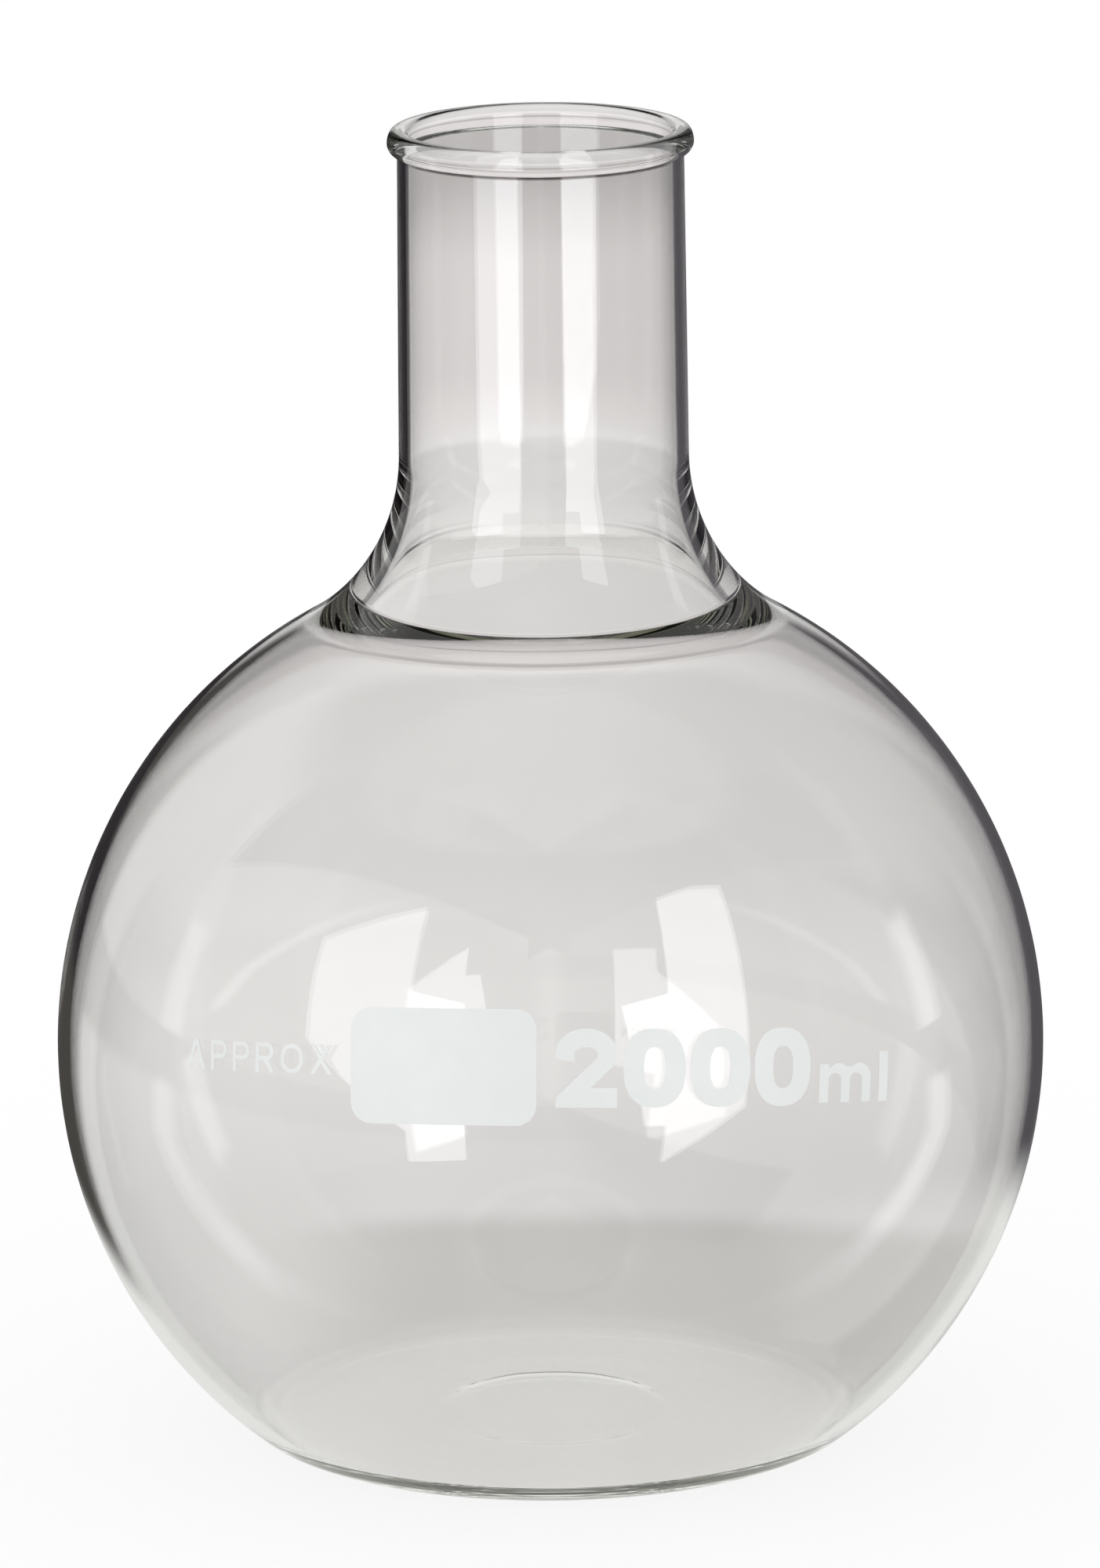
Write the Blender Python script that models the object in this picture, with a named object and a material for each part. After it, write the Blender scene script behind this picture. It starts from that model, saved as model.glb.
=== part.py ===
"""Flat-bottom boiling flask, 2000 ml: one blown glass vessel and the white enamel marks fired on its bulb.

Frame: +Z up, the origin on the resting plane under the middle of the base, and -Y is the printed front.
Lengths are in metres.
"""

import math

import bmesh
import bpy
from mathutils import Matrix, Vector

MM = 0.001

# Glass vessel, outer surface
BULB_RADIUS = 83.0 * MM
BULB_CENTRE_HEIGHT = 67.2 * MM
TOTAL_HEIGHT = 223.0 * MM
HEEL_RADIUS = 12.0 * MM
NECK_RADIUS_LOW = 24.2 * MM
NECK_RADIUS_HIGH = 23.8 * MM
SHOULDER_RADIUS = 33.0 * MM

# Rolled lip round the mouth
LIP_STANDS_OUT = 1.7 * MM
LIP_HEIGHT = 4.2 * MM
LIP_WIDEST_BELOW_TOP = 2.4 * MM
LIP_TOP_RADIUS = 23.9 * MM
LIP_INNER_ROUNDING = 1.2 * MM

# Push-up in the middle of the base
CONTACT_RING_INNER_RADIUS = 31.0 * MM
PUSH_UP_RADIUS = 19.0 * MM
PUSH_UP_EDGE_HEIGHT = 0.4 * MM
PUSH_UP_HEIGHT = 2.2 * MM

# Glass thickness
NECK_WALL = 1.8 * MM
BULB_WALL = 2.0 * MM
BULB_TOP_THICKENING = 0.2 * MM
BASE_WALL = 2.8 * MM

# Lower end of the bore, where it flares and ends in a small rounded edge over the bulb
BORE_FLARE_START = 166.0 * MM
BORE_FLARE_RADIUS = 42.0 * MM
BORE_EDGE_RADIUS = 2.0 * MM

# Faceting of the vessel
SEGMENTS = 48
BULB_STEPS = 16
SHOULDER_STEPS = 6
BORE_EDGE_STEPS = 3
HEEL_STEPS = 4
LIP_STEPS = 4

# Enamel marks: they are laid out flat and then wrapped on the bulb, round an equator that tilts up in front
ENAMEL_GAP = 0.3 * MM
ENAMEL_THICKNESS = 0.3 * MM
PRINT_TILT = math.radians(11.7)
PRINT_TURN = math.radians(-1.0)
PRINT_GRID = 3.2 * MM
DIGIT_HEIGHT = 12.8 * MM
DIGIT_BASELINE = -7.05 * MM
PANEL_SIZE = (31.0 * MM, 18.9 * MM)
PANEL_CORNER = (-33.3 * MM, -10.1 * MM)
PANEL_CORNER_RADIUS = 3.4 * MM
WORD_HEIGHT = 4.85 * MM
WORD_BASELINE = -2.4 * MM
WORD_START = -66.2 * MM
WORD_LETTER_GAP = 1.25 * MM


def clear_scene():
    for old in list(bpy.data.objects):
        bpy.data.objects.remove(old, do_unlink=True)


def make_material(name, colour, roughness, alpha=1.0, transmission=0.0):
    material = bpy.data.materials.new(name)
    material.use_nodes = True
    shader = material.node_tree.nodes["Principled BSDF"]
    shader.inputs["Base Color"].default_value = (*colour, 1.0)
    shader.inputs["Roughness"].default_value = roughness
    shader.inputs["Metallic"].default_value = 0.0
    shader.inputs["Transmission Weight"].default_value = transmission
    shader.inputs["Alpha"].default_value = alpha
    return material


def arc(centre_x, centre_y, radius_x, radius_y, start, end, steps):
    """Points along an arc, from start to end in degrees, both ends included."""
    points = []
    for step in range(steps + 1):
        angle = math.radians(start + (end - start) * step / steps)
        points.append((centre_x + radius_x * math.cos(angle), centre_y + radius_y * math.sin(angle)))
    return points


def join_runs(*runs):
    """One outline from several runs of points, leaving out a point that repeats the one before it."""
    outline = []
    for run in runs:
        for point in run:
            if not outline or math.dist(point, outline[-1]) > 1e-6:
                outline.append(point)
    return outline


def tangent_shoulder(bulb_radius, neck_radius, fillet_radius):
    """Where an arc outside the bulb touches both the bulb and the neck.

    Gives the arc centre's distance from the axis, its height and the angle at which it leaves the bulb.
    """
    out = neck_radius + fillet_radius
    up = math.sqrt((bulb_radius + fillet_radius) ** 2 - out**2)
    return out, BULB_CENTRE_HEIGHT + up, math.degrees(math.atan2(up, out))


def tangent_bore_edge(half_width, half_height, flare_out):
    """Where the rounded edge of glass touches the bore's flare and the ellipse that tops the bulb's inside.

    Gives the edge's centre, the angles at which its arc leaves the bulb and meets the flare, and the ellipse's
    own angle where the arc leaves it.
    """
    low, high = math.radians(50), math.radians(85)
    for _ in range(60):
        turn = (low + high) / 2
        normal = Vector((math.cos(turn) / half_width, math.sin(turn) / half_height)).normalized()
        out = half_width * math.cos(turn) + BORE_EDGE_RADIUS * normal.x
        up = BULB_CENTRE_HEIGHT + half_height * math.sin(turn) + BORE_EDGE_RADIUS * normal.y
        from_flare = Vector((out - flare_out, up - BORE_FLARE_START))
        if from_flare.length > BORE_FLARE_RADIUS - BORE_EDGE_RADIUS:
            high = turn
        else:
            low = turn
    leaves = 180 + math.degrees(math.atan2(normal.y, normal.x))
    meets = 360 + math.degrees(math.atan2(from_flare.y, from_flare.x))
    return out, up, leaves, meets, math.degrees(turn)


def tangent_heel(bulb_radius, heel_radius, floor_height):
    """Where an arc inside the bulb touches both the bulb and a flat floor."""
    down = BULB_CENTRE_HEIGHT - floor_height - heel_radius
    out = math.sqrt((bulb_radius - heel_radius) ** 2 - down**2)
    return out, floor_height + heel_radius, math.degrees(math.atan2(-down, out))


def push_up_arc(height_above):
    """The domed middle of the base, from its edge to the axis."""
    rise = PUSH_UP_HEIGHT - PUSH_UP_EDGE_HEIGHT
    dome_radius = (PUSH_UP_RADIUS**2 + rise**2) / (2 * rise)
    spread = math.degrees(math.asin(PUSH_UP_RADIUS / dome_radius))
    centre_height = PUSH_UP_HEIGHT - dome_radius + height_above
    return arc(0.0, centre_height, dome_radius, dome_radius, 90 - spread, 90, 4)


def outer_outline():
    """The outside, from the top of the lip down to the middle of the base."""
    shoulder_out, shoulder_height, shoulder_angle = tangent_shoulder(
        BULB_RADIUS, NECK_RADIUS_LOW, SHOULDER_RADIUS
    )
    heel_out, heel_height, heel_angle = tangent_heel(BULB_RADIUS, HEEL_RADIUS, 0.0)
    lip_out = NECK_RADIUS_HIGH + LIP_STANDS_OUT
    widest_height = TOTAL_HEIGHT - LIP_WIDEST_BELOW_TOP
    under_lip = LIP_HEIGHT - LIP_WIDEST_BELOW_TOP
    lip = join_runs(
        arc(LIP_TOP_RADIUS, widest_height, lip_out - LIP_TOP_RADIUS, LIP_WIDEST_BELOW_TOP, 90, 0, LIP_STEPS),
        arc(NECK_RADIUS_HIGH, widest_height, LIP_STANDS_OUT, under_lip, 0, -90, LIP_STEPS),
    )
    neck_start = TOTAL_HEIGHT - LIP_HEIGHT
    neck = [((NECK_RADIUS_HIGH + NECK_RADIUS_LOW) / 2, (neck_start + shoulder_height) / 2)]
    shoulder_end = 180 + shoulder_angle
    shoulder = arc(
        shoulder_out, shoulder_height, SHOULDER_RADIUS, SHOULDER_RADIUS, 180, shoulder_end, SHOULDER_STEPS
    )
    bulb = join_runs(
        arc(0.0, BULB_CENTRE_HEIGHT, BULB_RADIUS, BULB_RADIUS, shoulder_angle, 0, BULB_STEPS // 2),
        arc(0.0, BULB_CENTRE_HEIGHT, BULB_RADIUS, BULB_RADIUS, 0, heel_angle, BULB_STEPS // 2),
    )
    heel = arc(heel_out, heel_height, HEEL_RADIUS, HEEL_RADIUS, heel_angle, -90, HEEL_STEPS)
    ring = [(CONTACT_RING_INNER_RADIUS, 0.0)]
    return join_runs(lip, neck, shoulder, bulb, heel, ring, push_up_arc(0.0))


def inner_outline():
    """The inside, from the middle of the floor up to the mouth."""
    bulb_radius = BULB_RADIUS - BULB_WALL
    neck_low = NECK_RADIUS_LOW - NECK_WALL
    neck_high = NECK_RADIUS_HIGH - NECK_WALL
    bulb_top = bulb_radius - BULB_TOP_THICKENING
    flare_out = neck_low + BORE_FLARE_RADIUS
    edge_out, edge_height, leaves, meets, bulb_turn = tangent_bore_edge(bulb_radius, bulb_top, flare_out)
    heel_out, heel_height, heel_angle = tangent_heel(bulb_radius, HEEL_RADIUS, BASE_WALL)
    floor = list(reversed(push_up_arc(BASE_WALL)))
    ring = [(CONTACT_RING_INNER_RADIUS, BASE_WALL)]
    heel = arc(heel_out, heel_height, HEEL_RADIUS, HEEL_RADIUS, -90, heel_angle, HEEL_STEPS)
    bulb = join_runs(
        arc(0.0, BULB_CENTRE_HEIGHT, bulb_radius, bulb_radius, heel_angle, 0, BULB_STEPS // 2),
        arc(0.0, BULB_CENTRE_HEIGHT, bulb_radius, bulb_top, 0, bulb_turn, BULB_STEPS // 2),
    )
    edge = arc(edge_out, edge_height, BORE_EDGE_RADIUS, BORE_EDGE_RADIUS, leaves, meets, BORE_EDGE_STEPS)
    flare = arc(flare_out, BORE_FLARE_START, BORE_FLARE_RADIUS, BORE_FLARE_RADIUS, meets, 180, SHOULDER_STEPS)
    neck = [((neck_low + neck_high) / 2, (BORE_FLARE_START + TOTAL_HEIGHT) / 2)]
    mouth = arc(
        neck_high + LIP_INNER_ROUNDING,
        TOTAL_HEIGHT - LIP_INNER_ROUNDING,
        LIP_INNER_ROUNDING,
        LIP_INNER_ROUNDING,
        180,
        90,
        LIP_STEPS,
    )
    return join_runs(floor, ring, heel, bulb, edge, flare, neck, mouth)


def make_vessel(material):
    """Turns the closed half section of the glass round the Z axis."""
    section = join_runs(outer_outline(), inner_outline())
    bm = bmesh.new()
    verts = [bm.verts.new((x, 0.0, z)) for x, z in section]
    edges = []
    for a, b in zip(verts, verts[1:] + verts[:1]):
        if a.co.x > 1e-6 or b.co.x > 1e-6:
            edges.append(bm.edges.new((a, b)))
    bmesh.ops.spin(
        bm,
        geom=verts + edges,
        cent=(0, 0, 0),
        axis=(0, 0, 1),
        dvec=(0, 0, 0),
        angle=2 * math.pi,
        steps=SEGMENTS,
        use_merge=True,
        use_duplicate=False,
    )
    bmesh.ops.remove_doubles(bm, verts=bm.verts, dist=1e-6)
    bmesh.ops.dissolve_degenerate(bm, dist=1e-6, edges=bm.edges)
    bmesh.ops.recalc_face_normals(bm, faces=bm.faces)
    return finish_object("flask_body", bm, material)


def rounded_rectangle(width, height, corner, steps):
    """A rectangle with rounded corners, its lower left corner at the origin."""
    return join_runs(
        arc(width - corner, corner, corner, corner, -90, 0, steps),
        arc(width - corner, height - corner, corner, corner, 0, 90, steps),
        arc(corner, height - corner, corner, corner, 90, 180, steps),
        arc(corner, corner, corner, corner, 180, 270, steps),
    )


def oval(width, height, squareness, steps, inset_x=0.0, inset_y=0.0):
    """A squarish oval filling width by height, drawn in by the insets."""
    points = []
    half_x = width / 2 - inset_x
    half_y = height / 2 - inset_y
    for step in range(steps):
        angle = 2 * math.pi * step / steps
        c, s = math.cos(angle), math.sin(angle)
        x = width / 2 + half_x * math.copysign(abs(c) ** (2 / squareness), c)
        y = height / 2 + half_y * math.copysign(abs(s) ** (2 / squareness), s)
        points.append((x, y))
    return points


# Each glyph gives its outlines in millimetres, the outer one first, with its left foot at the origin.


def glyph_two():
    bowl = arc(4.95, 8.75, 5.0, 4.05, 192, -30, 14)
    foot = [(5.6, 3.2), (10.0, 3.2), (10.0, 0.0), (0.0, 0.0), (0.0, 1.55)]
    counter = arc(4.9, 8.6, 1.95, 1.2, -35, 190, 9)
    terminal = [(3.15, 7.35)]
    return [join_runs(bowl, foot, counter, terminal)]


def glyph_zero():
    return [oval(10.3, 12.8, 2.35, 28), oval(10.3, 12.8, 2.6, 20, 3.35, 3.0)]


def glyph_m():
    feet = [(0.0, 0.0), (1.8, 0.0), (1.8, 3.7)]
    left_gap = arc(3.05, 3.7, 1.25, 1.1, 180, 0, 5)
    middle = [(4.3, 0.0), (6.1, 0.0)]
    right_gap = arc(7.35, 3.7, 1.25, 1.1, 180, 0, 5)
    right = [(8.6, 0.0), (10.4, 0.0)]
    right_arch = arc(8.0, 4.0, 2.4, 2.4, 0, 130, 6)
    left_arch = arc(3.8, 4.0, 2.3, 2.4, 50, 140, 5)
    corner = [(1.7, 6.3), (0.0, 6.3)]
    return [join_runs(feet, left_gap, middle, right_gap, right, right_arch, left_arch, corner)]


def glyph_l():
    return [[(0.0, 0.0), (1.9, 0.0), (1.9, 8.2), (0.0, 8.2)]]


def glyph_a():
    feet = [(0.0, 0.0), (0.8, 0.0), (1.15, 1.05), (3.15, 1.05), (3.5, 0.0), (4.3, 0.0)]
    top = [(2.6, 4.85), (1.7, 4.85)]
    return [feet + top, [(1.4, 1.75), (2.9, 1.75), (2.15, 4.0)]]


def glyph_p():
    outside = join_runs(
        [(0.0, 0.0), (0.75, 0.0), (0.75, 1.9)],
        arc(2.05, 3.375, 1.45, 1.475, -90, 90, 6),
        [(0.0, 4.85)],
    )
    inside = join_runs([(0.75, 2.6)], arc(2.05, 3.375, 0.72, 0.775, -90, 90, 5), [(0.75, 4.15)])
    return [outside, inside]


def glyph_r():
    outside = join_runs(
        [(0.0, 0.0), (0.75, 0.0), (0.75, 1.95), (1.55, 1.95), (2.8, 0.0), (3.7, 0.0)],
        arc(2.15, 3.4, 1.45, 1.45, -72, 90, 6),
        [(0.0, 4.85)],
    )
    inside = join_runs([(0.75, 2.65)], arc(2.1, 3.4, 0.75, 0.75, -90, 90, 5), [(0.75, 4.15)])
    return [outside, inside]


def glyph_o():
    return [oval(4.3, 4.85, 2.2, 20), oval(4.3, 4.85, 2.2, 16, 0.75, 0.75)]


def glyph_x():
    lower = [(0.0, 0.0), (0.9, 0.0), (2.05, 1.8), (3.2, 0.0), (4.1, 0.0), (2.5, 2.45)]
    upper = [(4.0, 4.85), (3.1, 4.85), (2.05, 3.1), (1.0, 4.85), (0.1, 4.85), (1.6, 2.45)]
    return [lower + upper]


def wrap_on_bulb(along, up, radius):
    """The point of the bulb's sphere for a place in the flat print layout."""
    turned_along = along * math.cos(PRINT_TURN) - up * math.sin(PRINT_TURN)
    turned_up = along * math.sin(PRINT_TURN) + up * math.cos(PRINT_TURN)
    longitude = turned_along / BULB_RADIUS
    latitude = turned_up / BULB_RADIUS
    flat = math.cos(latitude)
    point = Vector((flat * math.sin(longitude), -flat * math.cos(longitude), math.sin(latitude))) * radius
    tilt = Matrix.Rotation(-PRINT_TILT, 3, "X")
    return tilt @ point + Vector((0.0, 0.0, BULB_CENTRE_HEIGHT))


def cut_by_grid(bm, axis, low, high):
    """Cuts the flat mark into strips, so that it can follow the bulb's curve."""
    normal = Vector((0.0, 0.0, 0.0))
    normal[axis] = 1.0
    cuts = max(1, math.ceil((high - low) / PRINT_GRID))
    for cut in range(1, cuts):
        place = Vector((0.0, 0.0, 0.0))
        place[axis] = low + (high - low) * cut / cuts
        geometry = bm.verts[:] + bm.edges[:] + bm.faces[:]
        bmesh.ops.bisect_plane(bm, geom=geometry, dist=1e-7, plane_co=place, plane_no=normal)


def make_mark(name, outlines, material):
    """One closed island of enamel from flat outlines in metres, wrapped on the bulb."""
    bm = bmesh.new()
    for outline in outlines:
        verts = [bm.verts.new((x, y, 0.0)) for x, y in outline]
        for a, b in zip(verts, verts[1:] + verts[:1]):
            bm.edges.new((a, b))
    bmesh.ops.triangle_fill(bm, use_beauty=True, use_dissolve=False, edges=bm.edges[:])
    for axis in (0, 1):
        places = [v.co[axis] for v in bm.verts]
        cut_by_grid(bm, axis, min(places), max(places))
    bmesh.ops.remove_doubles(bm, verts=bm.verts, dist=1e-6)
    bmesh.ops.triangulate(bm, faces=bm.faces[:])
    raised = bmesh.ops.extrude_face_region(bm, geom=bm.faces[:])["geom"]
    for vert in (item for item in raised if isinstance(item, bmesh.types.BMVert)):
        vert.co.z = ENAMEL_THICKNESS
    for vert in bm.verts:
        vert.co = wrap_on_bulb(vert.co.x, vert.co.y, BULB_RADIUS + ENAMEL_GAP + vert.co.z)
    bmesh.ops.recalc_face_normals(bm, faces=bm.faces[:])
    return finish_object(name, bm, material)


def placed(outlines, along, up):
    """Outlines in millimetres moved to their place in the print layout, in metres."""
    return [[(along + x * MM, up + y * MM) for x, y in outline] for outline in outlines]


def make_marks():
    """The writing panel, the capacity with its unit, and the small word."""
    panel = rounded_rectangle(*PANEL_SIZE, PANEL_CORNER_RADIUS, 5)
    panel = [(PANEL_CORNER[0] + x, PANEL_CORNER[1] + y) for x, y in panel]
    make_mark("writing_panel", [panel], enamel_material("writing_panel"))
    digits = (
        ("digit_2", glyph_two, 0.8),
        ("digit_0_left", glyph_zero, 11.8),
        ("digit_0_middle", glyph_zero, 22.9),
        ("digit_0_right", glyph_zero, 33.95),
    )
    for name, glyph, along in digits:
        make_mark(name, placed(glyph(), along * MM, DIGIT_BASELINE), enamel_material(name))
    for name, glyph, along in (("unit_m", glyph_m, 46.0), ("unit_l", glyph_l, 58.2)):
        make_mark(name, placed(glyph(), along * MM, DIGIT_BASELINE + 0.4 * MM), enamel_material(name))
    along = WORD_START
    word = (
        ("word_a", glyph_a),
        ("word_p_left", glyph_p),
        ("word_p_right", glyph_p),
        ("word_r", glyph_r),
        ("word_o", glyph_o),
        ("word_x", glyph_x),
    )
    for name, glyph in word:
        outlines = glyph()
        make_mark(name, placed(outlines, along, WORD_BASELINE), enamel_material(name))
        along += max(x for x, _ in outlines[0]) * MM + WORD_LETTER_GAP


def enamel_material(name):
    return make_material(f"enamel_{name}", (0.82, 0.84, 0.83), 0.45)


def finish_object(name, bm, material):
    mesh = bpy.data.meshes.new(name)
    bm.to_mesh(mesh)
    bm.free()
    mesh.materials.append(material)
    mesh.shade_smooth()
    mesh.set_sharp_from_angle(angle=math.radians(40))
    mesh_object = bpy.data.objects.new(name, mesh)
    bpy.context.scene.collection.objects.link(mesh_object)
    return mesh_object


clear_scene()
make_vessel(make_material("borosilicate_glass", (0.93, 0.95, 0.94), 0.02, alpha=0.35, transmission=1.0))
make_marks()
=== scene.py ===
import math

import bmesh
import bpy
from mathutils import Matrix, Vector, noise


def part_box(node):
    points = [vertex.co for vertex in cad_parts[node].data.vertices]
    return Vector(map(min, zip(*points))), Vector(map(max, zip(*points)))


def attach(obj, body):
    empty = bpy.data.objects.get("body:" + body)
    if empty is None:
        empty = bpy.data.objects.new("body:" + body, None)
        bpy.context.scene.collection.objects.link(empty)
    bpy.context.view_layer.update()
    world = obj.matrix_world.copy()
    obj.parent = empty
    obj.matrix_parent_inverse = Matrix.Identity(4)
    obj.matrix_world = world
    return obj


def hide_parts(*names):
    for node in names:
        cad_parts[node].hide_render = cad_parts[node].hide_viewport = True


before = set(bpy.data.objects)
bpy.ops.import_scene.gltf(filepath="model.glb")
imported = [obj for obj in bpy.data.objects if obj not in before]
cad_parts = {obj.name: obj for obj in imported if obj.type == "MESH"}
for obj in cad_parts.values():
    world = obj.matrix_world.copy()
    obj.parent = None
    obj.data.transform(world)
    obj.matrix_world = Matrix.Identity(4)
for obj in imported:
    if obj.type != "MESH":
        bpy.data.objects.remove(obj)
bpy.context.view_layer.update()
scene = bpy.context.scene
mm = 0.001
print("frame loaded:", len(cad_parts), "nodes")


# Table-top product view: a long lens, looking down a little.
cameraSetup = {
    "distance": 1.9034,      # in front of the flask's axis
    "height": 0.5605,        # above the bench
    "aside": 0.0004,
    "pitchDown": 13.279,     # degrees
    "lean": 0.65,            # degrees, about its own axis
    "lens": 267.8,
}


def makeCamera(setup):
    pitch = math.radians(setup["pitchDown"])
    lean = math.radians(setup["lean"])
    ahead = Vector((0.0, math.cos(pitch), -math.sin(pitch)))
    levelUp = Vector((0.0, math.sin(pitch), math.cos(pitch)))
    levelRight = Vector((1.0, 0.0, 0.0))
    up = levelUp * math.cos(lean) + levelRight * math.sin(lean)
    right = levelRight * math.cos(lean) - levelUp * math.sin(lean)
    data = bpy.data.cameras.new("studioCamera")
    data.lens = setup["lens"]
    data.sensor_width = 36.0
    data.clip_start = 0.01
    data.clip_end = 30.0
    camera = bpy.data.objects.new("studioCamera", data)
    camera.matrix_world = Matrix((right, up, -ahead)).transposed().to_4x4()
    camera.location = (setup["aside"], -setup["distance"], setup["height"])
    scene.collection.objects.link(camera)
    scene.camera = camera


makeCamera(cameraSetup)
scene.view_settings.view_transform = "Standard"
scene.view_settings.look = "None"
print("camera set")


def addNode(tree, kind, **settings):
    node = tree.nodes.new(kind)
    for key, value in settings.items():
        setattr(node, key, value)
    return node


def wire(tree, source, target):
    tree.links.new(source, target)


def maths(tree, operation, first, second=None, clamp=False):
    node = addNode(tree, "ShaderNodeMath", operation=operation, use_clamp=clamp)
    for socket, value in zip(node.inputs, (first, second)):
        if value is None:
            continue
        if isinstance(value, (int, float)):
            socket.default_value = value
        else:
            wire(tree, value, socket)
    return node.outputs[0]


def ramp(tree, value, low, high, lowOut=0.0, highOut=1.0):
    node = addNode(tree, "ShaderNodeMapRange", clamp=True, interpolation_type="SMOOTHSTEP")
    wire(tree, value, node.inputs["Value"])
    node.inputs["From Min"].default_value = low
    node.inputs["From Max"].default_value = high
    node.inputs["To Min"].default_value = lowOut
    node.inputs["To Max"].default_value = highOut
    return node.outputs["Result"]


def mixColours(tree, factor, first, second):
    node = addNode(tree, "ShaderNodeMix", data_type="RGBA")
    wire(tree, factor, node.inputs["Factor"])
    for socket, colour in ((node.inputs[6], first), (node.inputs[7], second)):
        if isinstance(colour, tuple):
            socket.default_value = (*colour, 1.0)
        else:
            wire(tree, colour, socket)
    return node.outputs[2]


def newMaterial(name):
    material = bpy.data.materials.new(name)
    material.use_nodes = True
    tree = material.node_tree
    tree.nodes.clear()
    output = addNode(tree, "ShaderNodeOutputMaterial")
    return material, tree, output


# Soft uneven patches and the small height that goes with them; the glass, the enamel and the bench use it.
def makeMottleGroup():
    group = bpy.data.node_groups.new("softMottle", "ShaderNodeTree")
    group.interface.new_socket("Patch Size", in_out="INPUT", socket_type="NodeSocketFloat")
    group.interface.new_socket("Stretch", in_out="INPUT", socket_type="NodeSocketFloat")
    group.interface.new_socket("Contrast", in_out="INPUT", socket_type="NodeSocketFloat")
    group.interface.new_socket("Mask", in_out="OUTPUT", socket_type="NodeSocketFloat")
    group.interface.new_socket("Height", in_out="OUTPUT", socket_type="NodeSocketFloat")
    inside = addNode(group, "NodeGroupInput")
    outside = addNode(group, "NodeGroupOutput")
    place = addNode(group, "ShaderNodeTexCoord")
    split = addNode(group, "ShaderNodeSeparateXYZ")
    join = addNode(group, "ShaderNodeCombineXYZ")
    wire(group, place.outputs["Object"], split.inputs[0])
    wire(group, split.outputs["X"], join.inputs["X"])
    wire(group, split.outputs["Y"], join.inputs["Y"])
    wire(group, maths(group, "DIVIDE", split.outputs["Z"], inside.outputs["Stretch"]), join.inputs["Z"])
    cloud = addNode(group, "ShaderNodeTexNoise")
    cloud.inputs["Detail"].default_value = 3.0
    cloud.inputs["Roughness"].default_value = 0.45
    wire(group, join.outputs[0], cloud.inputs["Vector"])
    wire(group, maths(group, "DIVIDE", 1.0, inside.outputs["Patch Size"]), cloud.inputs["Scale"])
    centred = maths(group, "SUBTRACT", cloud.outputs[0], 0.5)
    spread = maths(group, "MULTIPLY", centred, inside.outputs["Contrast"])
    wire(group, maths(group, "ADD", spread, 0.5, clamp=True), outside.inputs["Mask"])
    wire(group, cloud.outputs[0], outside.inputs["Height"])
    return group


mottleGroup = makeMottleGroup()


def addMottle(tree, patchSize, stretch=1.0, contrast=2.0):
    node = addNode(tree, "ShaderNodeGroup", node_tree=mottleGroup)
    node.inputs["Patch Size"].default_value = patchSize
    node.inputs["Stretch"].default_value = stretch
    node.inputs["Contrast"].default_value = contrast
    return node


glassLook = {
    "tintLight": (0.953, 0.950, 0.947),
    "tintDeep": (0.929, 0.926, 0.922),
    "bendsLight": 1.473,     # borosilicate
    "roughLow": 0.0,
    "roughHigh": 0.012,
    "waveSize": 0.022,
    "waveHeight": 0.00002,
    "drawLineSize": 0.004,
    "drawLineHeight": 0.0000015,
    "creaseShadeDrop": 0.0001,      # painted shade: a thin dark line painted into the glass where the rolled lip meets the neck, on the front half
    "creaseShadeWidth": 0.0005,
    "creaseShadeTone": (0.10, 0.08, 0.08),
    "creaseShadeFront": (-0.25, -0.55),     # of the neck's radius
    "creaseShadeBroken": (0.05, 0.55, 0.35, 1.0),
}


def makeGlass(look, creaseShadeUp, creaseShadeOut):
    material, tree, output = newMaterial("clearGlass")
    shader = addNode(tree, "ShaderNodeBsdfPrincipled")
    shader.inputs["Transmission Weight"].default_value = 1.0
    shader.inputs["Metallic"].default_value = 0.0
    shader.inputs["IOR"].default_value = look["bendsLight"]
    smudge = addMottle(tree, 0.03, 1.6, 2.5)
    tint = mixColours(tree, smudge.outputs["Mask"], look["tintDeep"], look["tintLight"])
    place = addNode(tree, "ShaderNodeTexCoord")
    split = addNode(tree, "ShaderNodeSeparateXYZ")
    wire(tree, place.outputs["Object"], split.inputs[0])
    # Painted shade: a thin dark line under the lip, painted into the glass's colour on the front half only
    # and broken up in patches.
    offCreaseShade = maths(tree, "ABSOLUTE", maths(tree, "SUBTRACT", split.outputs["Z"], creaseShadeUp))
    line = ramp(tree, offCreaseShade, look["creaseShadeWidth"], 0.4 * look["creaseShadeWidth"])
    onFront = ramp(tree, split.outputs["Y"], *(part * creaseShadeOut for part in look["creaseShadeFront"]))
    broken = ramp(tree, addMottle(tree, 0.006, 1.0, 2.5).outputs["Mask"], *look["creaseShadeBroken"])
    creaseShadeMask = maths(tree, "MULTIPLY", maths(tree, "MULTIPLY", line, onFront), broken)
    wire(tree, mixColours(tree, creaseShadeMask, tint, look["creaseShadeTone"]), shader.inputs["Base Color"])
    haze = ramp(tree, smudge.outputs["Mask"], 0.35, 1.0, look["roughLow"], look["roughHigh"])
    wire(tree, haze, shader.inputs["Roughness"])
    wave = addMottle(tree, look["waveSize"], 1.0)
    waveHeight = maths(tree, "MULTIPLY", wave.outputs["Height"], look["waveHeight"])
    lines = addMottle(tree, look["drawLineSize"], 14.0)
    lineHeight = maths(tree, "MULTIPLY", lines.outputs["Height"], look["drawLineHeight"])
    bump = addNode(tree, "ShaderNodeBump")
    bump.inputs["Strength"].default_value = 1.0
    bump.inputs["Distance"].default_value = 1.0
    wire(tree, maths(tree, "ADD", waveHeight, lineHeight), bump.inputs["Height"])
    wire(tree, bump.outputs["Normal"], shader.inputs["Normal"])
    wire(tree, shader.outputs[0], output.inputs["Surface"])
    return material


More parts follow.
